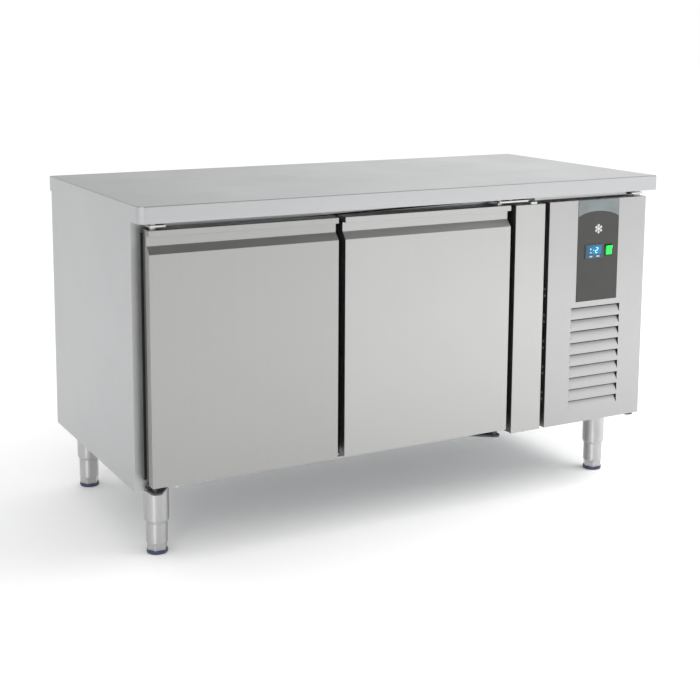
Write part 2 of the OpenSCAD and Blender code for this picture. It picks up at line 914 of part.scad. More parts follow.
// plate that the whole cooling unit slides out on
module unit_plate() {
    color([0.60, 0.61, 0.62])
        box(part_x + 12, side_x - 12, front_y + 16, back_y - 20, body_z0 + sheet, body_z0 + 3);
}

// copper tube through axis-parallel points, with round corners
module tube_run(p, r) {
    for (i = [0 : len(p) - 2]) {
        d = p[i + 1] - p[i];
        l = norm(d);
        translate(p[i])
            rotate([0, acos(d[2] / l), atan2(d[1], d[0])])
                cylinder(r = r, h = l);
    }
    for (i = [1 : len(p) - 2])
        translate(p[i])
            sphere(r);
}

module refrigerant_pipes() {
    stub_z = pot_z0 + pot_h + 10;
    coil_y = (coil_y0 + coil_y1) / 2;
    out_x = coil_x0 + 30;
    color([0.78, 0.45, 0.28]) {
        // suction line from the chamber to the compressor
        tube_run([[pot_x - 20, pot_y, stub_z], [pot_x - 20, pot_y, stub_z + 120],
            [part_x + sheet, pot_y, stub_z + 120]], 5);
        // discharge line from the compressor to the condenser
        tube_run([[pot_x + 20, pot_y, stub_z], [pot_x + 20, pot_y, stub_z + 80],
            [pot_x + 20, coil_y, stub_z + 80], [pot_x + 20, coil_y, coil_z1]], 4);
        // liquid line through the filter drier
        tube_run([[out_x, coil_y, coil_z1], [out_x, coil_y, stub_z + 100],
            [out_x, pot_y - 40, stub_z + 100], [part_x + sheet, pot_y - 40, stub_z + 100]], 3);
        rod_y(out_x, stub_z + 100, 13, pot_y - 170, pot_y - 70);
    }
}

module electrical_box() {
    color([0.30, 0.31, 0.33])
        box(side_x - sheet - 80, side_x - sheet, -20, 130, top_z0 - 240, top_z0 - 90);
}

// strain relief for the supply lead, with its through bore
module cable_gland() {
    x = side_x - 50;
    z = body_z0 + 56;
    color([0.10, 0.10, 0.11])
        difference() {
            union() {
                rod_y(x, z, 8, back_y - 14, back_y + 8);
                translate([x, back_y - sheet, z])
                    rotate([-90, 0, 0])
                        cylinder(r = 13, h = 6, $fn = 6);
                rod_y(x, z, 12, back_y - 9, back_y - 2 * sheet);
            }
            rod_y(x, z, 4, back_y - 20, back_y + 20);
        }
}

// bolts of the fixed panel, of the hinge plate beside it, of the sill and of the leg plates
module fasteners() {
    fix_x = (fix_x0 + fix_x1) / 2;
    color([0.80, 0.80, 0.80]) {
        translate([fix_x, face_y + 14, nose_z1 - 4])
            cylinder(r = 6, h = 5, $fn = 6);
        rod_z(fix_x + 16, face_y + 14, 12, door_z1 - 1.5, door_z1 + 4.5);
        rod_z(dr_x1 + 13, pivot_y - 4, 5, plate_z + tongue_t, plate_z + tongue_t + 4);
        rod_y(comp_x + 84, body_z0 + 17, 4.5, front_y - 2, front_y);
        for (p = legs)
            for (sx = [-1, 1])
                for (sy = [-1, 1])
                    translate([p[0] + sx * 38, p[1] + sy * 38, body_z0 - leg_plate - 4])
                        cylinder(r = 5, h = 4, $fn = 6);
    }
}

// ---- nodes ----

worktop();
worktop_core();
side_panel(-1);  // side_panel_left
side_panel(1);  // side_panel_right
rear_panel();
rear_grille();
base_pan();
front_rails();
breaker_frame();
insulation();
liner();
centre_mullion();
partition_panel();
fixed_panel();
hinge_tongues();
hinge_plates();
hinge_pins();
panel_catches();
leg_tubes_upper();
leg_tubes_lower();
foot(0);  // foot_front_left
foot(1);  // foot_front_right
foot(2);  // foot_rear_left
foot(3);  // foot_rear_right
shelf_racks();
wire_shelves();
evaporator_cover();
evaporator_coil();
evaporator_motor();
evaporator_fan();
drip_tray();
condenser_coil();
fan_shroud();
condenser_motor();
condenser_fan();
compressor();
unit_plate();
refrigerant_pipes();
electrical_box();
cable_gland();
fasteners();
door_shell(dl_x0, dl_x1, pivot_l);  // door_left_shell
door_core(dl_x0, dl_x1, pivot_l);  // door_left_core
door_liner(dl_x0, dl_x1, pivot_l);  // door_left_liner
door_gasket(pivot_l - 3, dl_x1 - 7);  // door_left_gasket
bushes(pivot_l, door_z0, door_z1);  // door_left_bushes
door_shell(dr_x0, dr_x1, pivot_r);  // door_right_shell
door_core(dr_x0, dr_x1, pivot_r);  // door_right_core
door_liner(dr_x0, dr_x1, pivot_r);  // door_right_liner
door_gasket(pivot_r + 3, dr_x0 + 7);  // door_right_gasket
bushes(pivot_r, door_z0, door_z1);  // door_right_bushes
compressor_panel();
bushes(pivot_c, comp_z0, door_z1);  // panel_bushes
panel_rivets();
fascia();
controller();
key(0);  // key_left
key(1);  // key_right
switch_housing();
switch_rocker();
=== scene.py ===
"""Looks of the undercounter refrigerator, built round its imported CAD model. Metres throughout."""

import json
import math

import bmesh
import bpy
from mathutils import Matrix, Vector


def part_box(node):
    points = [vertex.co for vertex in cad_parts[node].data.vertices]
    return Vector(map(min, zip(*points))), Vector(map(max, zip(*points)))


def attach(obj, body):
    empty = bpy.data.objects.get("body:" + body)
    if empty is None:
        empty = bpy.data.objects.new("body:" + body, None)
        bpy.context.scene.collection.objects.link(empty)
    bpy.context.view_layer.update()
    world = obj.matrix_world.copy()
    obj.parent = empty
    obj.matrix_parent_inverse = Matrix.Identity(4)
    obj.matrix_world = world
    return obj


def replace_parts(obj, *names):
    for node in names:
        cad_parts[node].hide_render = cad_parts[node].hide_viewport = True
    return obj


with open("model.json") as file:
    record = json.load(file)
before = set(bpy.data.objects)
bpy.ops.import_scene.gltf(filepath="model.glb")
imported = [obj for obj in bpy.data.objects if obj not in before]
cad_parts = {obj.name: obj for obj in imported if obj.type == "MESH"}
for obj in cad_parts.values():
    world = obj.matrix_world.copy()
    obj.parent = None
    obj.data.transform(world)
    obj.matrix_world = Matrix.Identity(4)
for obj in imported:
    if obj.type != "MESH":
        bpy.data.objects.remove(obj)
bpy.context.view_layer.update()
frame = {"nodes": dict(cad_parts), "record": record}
NODES = frame["nodes"]
BODY_OF = {n: b for b, ns in frame["record"]["behaviour"]["bodies"].items() for n in ns}
SLOT_OF = {s["node"]: s["material_slot"] for s in frame["record"]["subparts"]}
MM = 0.001


# ---------------------------------------------------------------- camera, light and floor

CAMERA_PLACE = (-1.7116, -3.0874, 1.2404)
CAMERA_YAW = math.radians(28.688)
CAMERA_PITCH = math.radians(8.426)
CAMERA_ROLL = math.radians(0.350)
FOCAL_IN_WIDTHS = 1313.7 / 700
CAMERA_SHIFT_Y = -0.18

AMBIENT = 1.10
FRONT_WALL_LEFT = (1.8, 0.8, (-0.5, 0.2))
FRONT_WALL_RIGHT = (0.8, 2.3, (0.25, 0.70))
FRONT_WALL_TOP = (0.10, 0.22)
FRONT_ABOVE = 0.85
REAR_WALL = (0.73, 1.20, (0.25, 0.58))
WALL_TURN = (-0.3, 0.4)
CEILING_FRONT = (0.20, 0.95, (0.40, 0.60))
CEILING_REAR = 0.55
CEILING_TURN = (-0.10, 0.10)
CEILING_RISE = (0.40, 0.85)
STRIP = 4.0
STRIP_AZIMUTH = (-0.70, -0.714)
STRIP_EDGE = (0.980, 0.988)
STRIP_FOOT = (0.08, 0.20)
KEY_PLACE = (2.8, -1.6, 2.6)
KEY_TARGET = (2.8, -1.6, 0.0)
KEY_SIZE = (1.6, 3.2)
KEY_POWER = 108
FLOOR_HALF = 30.0
FLOOR_DROP = 0.2 * MM


def add_camera():
    """A camera turned by yaw from +Y, pitched down and rolled about its own axis."""
    forward = Vector((
        math.sin(CAMERA_YAW) * math.cos(CAMERA_PITCH),
        math.cos(CAMERA_YAW) * math.cos(CAMERA_PITCH),
        -math.sin(CAMERA_PITCH),
    ))
    level = Vector((math.cos(CAMERA_YAW), -math.sin(CAMERA_YAW), 0))
    up = level.cross(forward)
    c, s = math.cos(CAMERA_ROLL), math.sin(CAMERA_ROLL)
    x_axis, y_axis = level * c + up * s, up * c - level * s
    turn = Matrix((x_axis, y_axis, -forward)).transposed().to_4x4()
    cam = bpy.data.cameras.new("camera")
    obj = bpy.data.objects.new("camera", cam)
    bpy.context.scene.collection.objects.link(obj)
    obj.matrix_world = Matrix.Translation(CAMERA_PLACE) @ turn
    cam.sensor_width = 36
    cam.lens = 36 * FOCAL_IN_WIDTHS
    cam.shift_y = CAMERA_SHIFT_Y
    cam.clip_end = 100
    bpy.context.scene.camera = obj


class Graph:
    """A small wrapper that makes node trees readable."""

    def __init__(self, tree):
        self.tree = tree
        tree.nodes.clear()

    def add(self, kind, props=None, **inputs):
        node = self.tree.nodes.new("ShaderNode" + kind)
        for key, value in (props or {}).items():
            setattr(node, key, value)
        for key, value in inputs.items():
            self.put(node, key.replace("_", " "), value)
        return node

    def put(self, node, key, value):
        socket = node.inputs[int(key)] if key.isdigit() else node.inputs[key]
        if isinstance(value, bpy.types.NodeSocket):
            self.tree.links.new(value, socket)
        else:
            socket.default_value = value

    def math(self, operation, a, b=0.0):
        node = self.add("Math", {"operation": operation})
        self.put(node, "0", a)
        self.put(node, "1", b)
        return node.outputs[0]

    def spread(self, value, low, high, source=(0.0, 1.0)):
        """Maps value from the source range to low..high."""
        node = self.add("MapRange", Value=value)
        node.inputs["From Min"].default_value = source[0]
        node.inputs["From Max"].default_value = source[1]
        node.inputs["To Min"].default_value = low
        node.inputs["To Max"].default_value = high
        return node.outputs[0]

    def choose(self, test, yes, no):
        """The value yes where test is 1 and no where it is 0."""
        node = self.add("Mix", {"data_type": "FLOAT"})
        self.put(node, "0", test)
        self.put(node, "2", no)
        self.put(node, "3", yes)
        return node.outputs[0]

    def mix(self, factor, a, b, blend="MIX"):
        node = self.add("Mix", {"data_type": "RGBA", "blend_type": blend})
        self.put(node, "0", factor)
        self.put(node, "6", a)
        self.put(node, "7", b)
        return node.outputs[2]


def rgba(color, k=1.0):
    return (color[0] * k, color[1] * k, color[2] * k, 1.0)


def add_world():
    """White for the camera, even for matt surfaces; shiny ones see a dark ceiling and bright walls."""
    world = bpy.data.worlds.new("studio")
    bpy.context.scene.world = world
    world.use_nodes = True
    g = Graph(world.node_tree)
    parts = g.add("SeparateXYZ", Vector=g.add("TexCoord").outputs["Generated"])
    x, y, z = parts.outputs
    front = g.math("MAXIMUM", g.spread(x, *FRONT_WALL_LEFT), g.spread(x, *FRONT_WALL_RIGHT))
    front = g.choose(g.spread(z, 0.0, 1.0, FRONT_WALL_TOP), FRONT_ABOVE, front)
    rear = g.spread(x, *REAR_WALL)
    walls = g.choose(g.spread(y, 0.0, 1.0, WALL_TURN), rear, front)
    overhead = g.choose(g.spread(y, 0.0, 1.0, CEILING_TURN), CEILING_REAR,
                        g.spread(x, *CEILING_FRONT))
    ceiling = g.choose(g.spread(z, 0.0, 1.0, CEILING_RISE), overhead, 1.0)
    lean = g.math("ADD", g.math("MULTIPLY", x, STRIP_AZIMUTH[0]),
                  g.math("MULTIPLY", y, STRIP_AZIMUTH[1]))
    level = g.math("SQRT", g.math("ADD", g.math("MULTIPLY", x, x), g.math("MULTIPLY", y, y)))
    strip = g.spread(g.math("DIVIDE", lean, level), 0.0, STRIP, STRIP_EDGE)
    strip = g.math("MULTIPLY", strip, g.spread(z, 0.0, 1.0, STRIP_FOOT))
    mirrored = g.math("MULTIPLY", g.math("ADD", walls, strip), ceiling)
    ray = g.add("LightPath")
    matt = ray.outputs["Is Diffuse Ray"]
    seen = ray.outputs["Is Camera Ray"]
    strength = g.choose(seen, 1.0, g.choose(matt, AMBIENT, mirrored))
    back = g.add("Background", Color=(1.0, 1.0, 1.0, 1.0), Strength=strength)
    out = g.add("OutputWorld")
    g.tree.links.new(back.outputs[0], out.inputs["Surface"])


def add_light(name, place, target, size, power):
    light = bpy.data.lights.new(name, "AREA")
    light.shape = "RECTANGLE"
    light.size, light.size_y = size
    light.energy = power
    obj = bpy.data.objects.new(name, light)
    bpy.context.scene.collection.objects.link(obj)
    obj.visible_camera = False
    obj.visible_glossy = False
    obj.location = place
    obj.rotation_euler = (Vector(target) - Vector(place)).to_track_quat("-Z", "Y").to_euler()


def add_floor():
    """A matt pale sheet just under the feet."""
    mesh = bpy.data.meshes.new("floor")
    corners = [(x * FLOOR_HALF, y * FLOOR_HALF, -FLOOR_DROP)
               for x, y in ((-1, -1), (1, -1), (1, 1), (-1, 1))]
    mesh.from_pydata(corners, [], [(0, 1, 2, 3)])
    floor = bpy.data.objects.new("floor", mesh)
    bpy.context.scene.collection.objects.link(floor)
    mat = bpy.data.materials.new("floor_paper")
    mat.use_nodes = True
    g = Graph(mat.node_tree)
    coord = g.add("TexCoord").outputs["Object"]
    fibre = g.add("TexNoise", Vector=coord, Scale=40.0, Detail=3.0).outputs["Fac"]
    color = g.mix(fibre, (0.93, 0.93, 0.93, 1), (0.95, 0.95, 0.95, 1))
    shader = g.add("BsdfPrincipled", Base_Color=color, Roughness=0.9)
    out = g.add("OutputMaterial")
    g.tree.links.new(shader.outputs[0], out.inputs["Surface"])
    floor.data.materials.append(mat)


add_camera()
add_world()
add_light("key", KEY_PLACE, KEY_TARGET, KEY_SIZE, KEY_POWER)
add_floor()


# ---------------------------------------------------------------- materials

def finish_material(g, mat, **inputs):
    shader = g.add("BsdfPrincipled", **inputs)
    out = g.add("OutputMaterial")
    g.tree.links.new(shader.outputs[0], out.inputs["Surface"])
    return shader


def start_material(name):
    mat = bpy.data.materials.new(name)
    mat.use_nodes = True
    g = Graph(mat.node_tree)
    coord = g.add("TexCoord").outputs["Object"]
    return mat, g, coord


def stretched(g, coord, along, fine, coarse):
    """Coordinates with low frequency along one axis (0, 1 or 2) and high across it."""
    scale = [fine, fine, fine]
    scale[along] = coarse
    return g.add("Mapping", Vector=coord, Scale=tuple(scale)).outputs[0]


def edge_wear(g, radius):
    """About 1 along convex or concave edges and 0 on open faces."""
    rounded = g.add("Bevel", {"samples": 4}, Radius=radius).outputs[0]
    flat = g.add("NewGeometry").outputs["Normal"]
    dot = g.add("VectorMath", {"operation": "DOT_PRODUCT"})
    g.put(dot, "0", rounded)
    g.put(dot, "1", flat)
    return g.spread(dot.outputs["Value"], 1.0, 0.0, (0.80, 0.98))


def steel(name, color, rough, along):
    """Brushed sheet: grain lines along one axis, faint streaks, soft marks, bright edges."""
    tone, streak, bump = 0.02, 0.04, 0.10
    mat, g, coord = start_material(name)
    grain = g.add("TexNoise", Vector=stretched(g, coord, along, 1100.0, 5.0), Scale=1.0, Detail=2.0)
    band = g.add("TexNoise", Vector=stretched(g, coord, along, 60.0, 1.0), Scale=1.0, Detail=3.0)
    cloud = g.add("TexNoise", Vector=coord, Scale=2.6, Detail=3.0, Roughness=0.5)
    mark = g.add("TexNoise", Vector=coord, Scale=11.0, Detail=6.0, Roughness=0.6)
    worn = edge_wear(g, 0.8 * MM)
    mixed = g.math("ADD", g.math("MULTIPLY", band.outputs["Fac"], 0.5),
                   g.math("MULTIPLY", cloud.outputs["Fac"], 0.5))
    shade = g.mix(g.spread(mixed, 0.0, 1.0, (0.3, 0.7)),
                  rgba(color, 1 - tone), rgba(color, 1 + tone))
    shade = g.mix(g.math("MULTIPLY", worn, 0.5), shade, rgba(color, 1.25))
    r = g.spread(cloud.outputs["Fac"], rough - 0.02, rough + 0.02, (0.35, 0.65))
    r = g.math("ADD", r, g.spread(band.outputs["Fac"], -streak / 2, streak / 2, (0.3, 0.7)))
    r = g.math("ADD", r, g.spread(mark.outputs["Fac"], 0.0, 0.02, (0.45, 0.7)))
    relief = g.add("Bump", Strength=bump, Distance=0.00005, Height=grain.outputs["Fac"])
    finish_material(g, mat, Base_Color=shade, Metallic=1.0, Roughness=r,
                    Normal=relief.outputs[0])
    return mat


def galvanised(name, color, rough):
    """Zinc-coated sheet with faint crystal spangle."""
    mat, g, coord = start_material(name)
    cell = g.add("TexVoronoi", {"feature": "F1"}, Vector=coord, Scale=75.0)
    tint = g.add("SeparateColor", Color=cell.outputs["Color"]).outputs[0]
    cloud = g.add("TexNoise", Vector=coord, Scale=5.0, Detail=4.0).outputs["Fac"]
    value = g.math("ADD", g.math("MULTIPLY", tint, 0.6), g.math("MULTIPLY", cloud, 0.4))
    shade = g.mix(value, rgba(color, 0.90), rgba(color, 1.07))
    r = g.spread(tint, rough - 0.06, rough + 0.08)
    relief = g.add("Bump", Strength=0.08, Distance=0.0001, Height=cloud)
    finish_material(g, mat, Base_Color=shade, Metallic=1.0, Roughness=r,
                    Normal=relief.outputs[0])
    return mat


def polished(name, color, rough, along=2, spread_up=0.0):
    """Drawn tube or plated part: nearly smooth, with faint lengthwise lines."""
    mat, g, coord = start_material(name)
    line = g.add("TexNoise", Vector=stretched(g, coord, along, 500.0, 8.0), Scale=1.0, Detail=2.0)
    cloud = g.add("TexNoise", Vector=coord, Scale=30.0, Detail=4.0).outputs["Fac"]
    shade = g.mix(cloud, rgba(color, 0.95), rgba(color, 1.03))
    r = g.spread(cloud, rough - 0.04, rough + 0.06, (0.3, 0.7))
    relief = g.add("Bump", Strength=0.06, Distance=0.00005, Height=line.outputs["Fac"])
    shader = finish_material(g, mat, Base_Color=shade, Metallic=1.0, Roughness=r,
                             Normal=relief.outputs[0])
    if spread_up:
        shader.inputs["Anisotropic"].default_value = spread_up
        g.put(shader, "Tangent", g.add("CombineXYZ", X=0.0, Y=0.0, Z=1.0).outputs[0])
    return mat


def plastic(name, color, rough, grain=900.0, relief_size=0.00008, coat=0.0):
    """Moulded plastic or rubber: fine grain and slight blotches."""
    mat, g, coord = start_material(name)
    skin = g.add("TexNoise", Vector=coord, Scale=grain, Detail=3.0).outputs["Fac"]
    cloud = g.add("TexNoise", Vector=coord, Scale=18.0, Detail=5.0, Roughness=0.6).outputs["Fac"]
    shade = g.mix(g.spread(cloud, 0.0, 1.0, (0.35, 0.7)), rgba(color, 0.88), rgba(color, 1.15))
    r = g.spread(cloud, rough - 0.05, rough + 0.07, (0.3, 0.7))
    relief = g.add("Bump", Strength=0.25, Distance=relief_size, Height=skin)
    finish_material(g, mat, Base_Color=shade, Roughness=r, Normal=relief.outputs[0],
                    Coat_Weight=coat)
    return mat


def enamel(name, color, rough):
    """Black stoved paint with orange peel."""
    mat, g, coord = start_material(name)
    peel = g.add("TexNoise", Vector=coord, Scale=260.0, Detail=2.0).outputs["Fac"]
    cloud = g.add("TexNoise", Vector=coord, Scale=12.0, Detail=5.0).outputs["Fac"]
    shade = g.mix(cloud, rgba(color, 0.8), rgba(color, 1.4))
    r = g.spread(cloud, rough - 0.06, rough + 0.1, (0.3, 0.7))
    relief = g.add("Bump", Strength=0.15, Distance=0.0003, Height=peel)
    finish_material(g, mat, Base_Color=shade, Roughness=r, Normal=relief.outputs[0],
                    Specular_IOR_Level=0.5)
    return mat


def tarnished(name, color, dark, rough):
    """Bare metal with darker tarnish in patches."""
    mat, g, coord = start_material(name)
    patch = g.add("TexNoise", Vector=coord, Scale=24.0, Detail=6.0, Roughness=0.65).outputs["Fac"]
    shade = g.mix(g.spread(patch, 0.0, 1.0, (0.4, 0.65)), rgba(color), rgba(dark))
    r = g.spread(patch, rough - 0.08, rough + 0.15, (0.35, 0.7))
    finish_material(g, mat, Base_Color=shade, Metallic=1.0, Roughness=r)
    return mat


def foamed(name, color):
    """Cut rigid foam with fine cells."""
    mat, g, coord = start_material(name)
    cell = g.add("TexVoronoi", Vector=coord, Scale=900.0).outputs["Distance"]
    cloud = g.add("TexNoise", Vector=coord, Scale=9.0, Detail=4.0).outputs["Fac"]
    shade = g.mix(cloud, rgba(color, 0.85), rgba(color, 1.05))
    relief = g.add("Bump", Strength=0.5, Distance=0.0006, Height=cell)
    finish_material(g, mat, Base_Color=shade, Roughness=0.9, Normal=relief.outputs[0])
    return mat


def board(name, light, dark):
    """Chipboard with chips of two tones."""
    mat, g, coord = start_material(name)
    chips = g.add("TexVoronoi", Vector=stretched(g, coord, 0, 400.0, 160.0), Scale=1.0)
    tint = g.add("SeparateColor", Color=chips.outputs["Color"]).outputs[0]
    finish_material(g, mat, Base_Color=g.mix(tint, rgba(light), rgba(dark)), Roughness=0.85)
    return mat


def glowing(name, color, strength):
    """Translucent lit plastic, a little unevenly lit."""
    mat, g, coord = start_material(name)
    cloud = g.add("TexNoise", Vector=coord, Scale=60.0, Detail=2.0).outputs["Fac"]
    shade = g.mix(cloud, rgba(color, 0.85), rgba(color, 1.1))
    finish_material(g, mat, Base_Color=shade, Roughness=0.3, Emission_Color=shade,
                    Emission_Strength=strength)
    return mat


def backlit(name, dark, bright, strength):
    """A display whose back light is strongest right of its centre and fades to its left edge."""
    mat, g, coord = start_material(name)
    lo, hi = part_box("controller")
    across = g.spread(g.add("SeparateXYZ", Vector=coord).outputs["X"], 0.0, 1.0, (lo[0], hi[0]))
    fade = g.math("POWER", g.math("SINE", g.math("MULTIPLY", across, 2.3)), 1.6)
    speck = g.add("TexNoise", Vector=coord, Scale=600.0, Detail=2.0).outputs["Fac"]
    shade = g.mix(fade, rgba(dark), rgba(bright))
    shade = g.mix(g.spread(speck, 0.0, 0.25), shade, rgba(bright))
    finish_material(g, mat, Base_Color=shade, Roughness=0.12, Emission_Color=shade,
                    Emission_Strength=strength)
    return mat


FINISH = {
    "steel_brushed": steel("steel_brushed", (0.440, 0.445, 0.450), 0.325, 0),
    # steel_door is the door steel made darker than steel_brushed, and steel_door_right_painted_light and
    # steel_panel_painted_light below are lighter copies of it: one steel in several tones set to the light
    # on each front face, painted shade and painted light.
    "steel_door": steel("steel_door", (0.367, 0.365, 0.361), 0.33, 2),
    "steel_inner": steel("steel_inner", (0.60, 0.605, 0.61), 0.34, 2),
    "steel_galvanised": galvanised("steel_galvanised", (0.50, 0.51, 0.52), 0.42),
    "steel_zinc": polished("steel_zinc", (0.62, 0.62, 0.60), 0.32),
    "steel_dark": enamel("steel_dark", (0.05, 0.05, 0.055), 0.45),
    "leg_steel": polished("leg_steel", (0.51, 0.51, 0.51), 0.33, 2, 0.93),
    "wire_chrome": polished("wire_chrome", (0.75, 0.75, 0.76), 0.14, 1),
    "foot_plastic": plastic("foot_plastic", (0.035, 0.042, 0.085), 0.42),
    "black_plastic": plastic("black_plastic", (0.016, 0.016, 0.017), 0.45),
    "nylon": plastic("nylon", (0.62, 0.61, 0.56), 0.4),
    "gasket_rubber": plastic("gasket_rubber", (0.018, 0.018, 0.019), 0.62, 500.0),
    "foam": foamed("foam", (0.80, 0.72, 0.46)),
    "board": board("board", (0.45, 0.33, 0.20), (0.30, 0.21, 0.12)),
    "fascia_film": plastic("fascia_film", (0.030, 0.032, 0.028), 0.45, 1400.0, 0.00004),
    "controller_plastic": plastic("controller_plastic", (0.020, 0.045, 0.075), 0.22, 1500.0, 0.00002, 0.3),
    "key_plastic": plastic("key_plastic", (0.36, 0.52, 0.62), 0.35, 1500.0, 0.00002),
    "rocker_green": glowing("rocker_green", (0.0, 0.92, 0.06), 0.75),
    "coil_aluminium": tarnished("coil_aluminium", (0.62, 0.61, 0.58), (0.42, 0.40, 0.36), 0.4),
    "fan_blades": tarnished("fan_blades", (0.52, 0.54, 0.57), (0.40, 0.41, 0.43), 0.38),
    "motor_black": enamel("motor_black", (0.02, 0.02, 0.022), 0.4),
    "compressor_black": enamel("compressor_black", (0.012, 0.012, 0.013), 0.3),
    "copper": tarnished("copper", (0.80, 0.42, 0.26), (0.42, 0.19, 0.11), 0.28),
    "grey_box": plastic("grey_box", (0.11, 0.115, 0.125), 0.5),
    # A near-white copy of steel_zinc for the rivet heads: painted glint in the shaded gap.
    "rivet_painted_glint": polished("rivet_painted_glint", (0.92, 0.92, 0.92), 0.45),
    # Lighter copies of the door steel: painted light on the right door and fixed panel, and on the
    # compressor panel.
    "steel_door_right_painted_light": steel("steel_door_right_painted_light", (0.415, 0.413, 0.409), 0.33, 2),
    "steel_panel_painted_light": steel("steel_panel_painted_light", (0.385, 0.380, 0.381), 0.33, 2),
    "liner_abs": plastic("liner_abs", (0.05, 0.05, 0.052), 0.38, 700.0, 0.00006),
    "fascia_pale": plastic("fascia_pale", (0.165, 0.188, 0.194), 0.45, 1400.0, 0.00004),
    "print_white": plastic("print_white", (0.78, 0.79, 0.78), 0.45, 1400.0, 0.00004),
    "display_lit": glowing("display_lit", (0.30, 0.85, 1.0), 1.2),
    "display_blue": backlit("display_blue", (0.003, 0.02, 0.06), (0.0, 0.115, 0.25), 0.5),
}
for node_name, node_obj in NODES.items():
    node_obj.data.materials.clear()
    node_obj.data.materials.append(FINISH[SLOT_OF[node_name]])


# ---------------------------------------------------------------- mesh helpers

def new_mesh(name, verts, faces):
    mesh = bpy.data.meshes.new(name)
    mesh.from_pydata([tuple(v) for v in verts], [], faces)
    mesh.validate()
    bm = bmesh.new()
    bm.from_mesh(mesh)
    bmesh.ops.recalc_face_normals(bm, faces=bm.faces)
    bm.to_mesh(mesh)
    bm.free()
    return mesh


def add_piece(name, mesh, body, slot, material=None, sharp=None):
    """Adds a mesh that rides on a body; sharp is the angle above which edges stay crisp."""
    obj = bpy.data.objects.new(name, mesh)
    bpy.context.scene.collection.objects.link(obj)
    mesh.materials.clear()
    mesh.materials.append(material or FINISH[slot])
    if sharp is not None:
        mesh.shade_smooth()
        mesh.set_sharp_from_angle(angle=math.radians(sharp))
    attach(obj, body)
    return obj


def keep_flat(obj):
    """Lets large flat faces keep their own normals beside rounded edges."""
    weigh = obj.modifiers.new("flat faces", "WEIGHTED_NORMAL")
    weigh.keep_sharp = True


def break_edges(obj, width, segments=3):
    """Rounds the edges of a block-like piece."""
    bevel = obj.modifiers.new("edges", "BEVEL")
    bevel.width = width
    bevel.segments = segments
    bevel.limit_method = "ANGLE"
    bevel.angle_limit = math.radians(20)
    obj.data.shade_smooth()
    obj.data.set_sharp_from_angle(angle=math.radians(35))
    keep_flat(obj)


def soften(node, width, segments=3, shortest=8 * MM, sharp=35.0, material=None):
    """Stands for a CAD node: the same shape with its longer sharp edges rounded."""
    mesh = NODES[node].data.copy()
    mesh.name = node + "_rounded"
    bm = bmesh.new()
    bm.from_mesh(mesh)
    bmesh.ops.remove_doubles(bm, verts=bm.verts, dist=1e-6)
    bmesh.ops.dissolve_limit(bm, angle_limit=math.radians(0.5), verts=bm.verts, edges=bm.edges)
    edges = [e for e in bm.edges if len(e.link_faces) == 2 and e.calc_length() > shortest
             and e.calc_face_angle(0.0) > math.radians(40)]
    bmesh.ops.bevel(bm, geom=edges, offset=width, offset_type="OFFSET", segments=segments,
                    profile=0.5, affect="EDGES", clamp_overlap=True)
    bm.to_mesh(mesh)
    bm.free()
    piece = add_piece(node + "_rounded", mesh, BODY_OF[node], SLOT_OF[node], material, sharp)
    keep_flat(piece)
    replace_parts(piece, node)
    return piece


def loft(rings, start=True, end=True):
    """Skins closed rings of equal length, with a face over the first and last where asked."""
    n = len(rings[0])
    verts = [v for ring in rings for v in ring]
    faces = []
    for k in range(len(rings) - 1):
        for i in range(n):
            j = (i + 1) % n
            faces.append((k * n + i, k * n + j, (k + 1) * n + j, (k + 1) * n + i))
    if start:
        faces.append(tuple(range(n)))
    if end:
        faces.append(tuple(range((len(rings) - 1) * n, len(rings) * n)))
    return verts, faces


def ring_xz(x0, x1, z0, z1, inset, y):
    return [(x0 + inset, y, z0 + inset), (x1 - inset, y, z0 + inset),
            (x1 - inset, y, z1 - inset), (x0 + inset, y, z1 - inset)]


def turned(profile, segments=48):
    """Rings about local Z from (radius, height) pairs."""
    return [[(r * math.cos(2 * math.pi * i / segments), r * math.sin(2 * math.pi * i / segments), z)
             for i in range(segments)] for r, z in profile]


def placed(verts, place, axis):
    """Turns local +Z to axis and moves the origin to place."""
    m = Matrix.Translation(place) @ Vector(axis).to_track_quat("Z", "Y").to_matrix().to_4x4()
    return [m @ Vector(v) for v in verts]


def torus(place, axis, major, minor, segments=72, sides=10):
    rings = []
    for i in range(segments):
        a = 2 * math.pi * i / segments
        rings.append([((major + minor * math.cos(2 * math.pi * k / sides)) * math.cos(a),
                       (major + minor * math.cos(2 * math.pi * k / sides)) * math.sin(a),
                       minor * math.sin(2 * math.pi * k / sides)) for k in range(sides)])
    verts, faces = loft(rings + [rings[0]], False, False)
    return placed(verts, place, axis), faces


def wire(a, b, radius, sides=10):
    """A straight round rod from a to b with rounded ends."""
    a, b = Vector(a), Vector(b)
    length = (b - a).length
    end = radius * 0.4
    verts, faces = loft(turned([(radius * 0.6, 0), (radius, end), (radius, length - end),
                                (radius * 0.6, length)], sides))
    return placed(verts, a, b - a), faces


def slab(lo, hi):
    x0, y0, z0 = lo
    x1, y1, z1 = hi
    return loft([[(x0, y0, z0), (x1, y0, z0), (x1, y1, z0), (x0, y1, z0)],
                 [(x0, y0, z1), (x1, y0, z1), (x1, y1, z1), (x0, y1, z1)]])


def joined(parts):
    verts, faces = [], []
    for v, f in parts:
        base = len(verts)
        verts += list(v)
        faces += [tuple(i + base for i in face) for face in f]
    return verts, faces


def screw(place, axis, r, h):
    """A pan head with a six-lobed recess, seated on place and standing h proud along axis."""
    n = 36
    rings = turned([(r, -0.0002), (r, h * 0.35), (r * 0.94, h * 0.7), (r * 0.78, h * 0.92),
                    (r * 0.6, h)], n)
    for scale, z in ((0.46, h), (0.43, h * 0.35)):
        rings.append([((r * scale * (1 + 0.16 * math.cos(12 * math.pi * i / n))) *
                       math.cos(2 * math.pi * i / n),
                       (r * scale * (1 + 0.16 * math.cos(12 * math.pi * i / n))) *
                       math.sin(2 * math.pi * i / n), z) for i in range(n)])
    verts, faces = loft(rings)
    return placed(verts, place, axis), faces


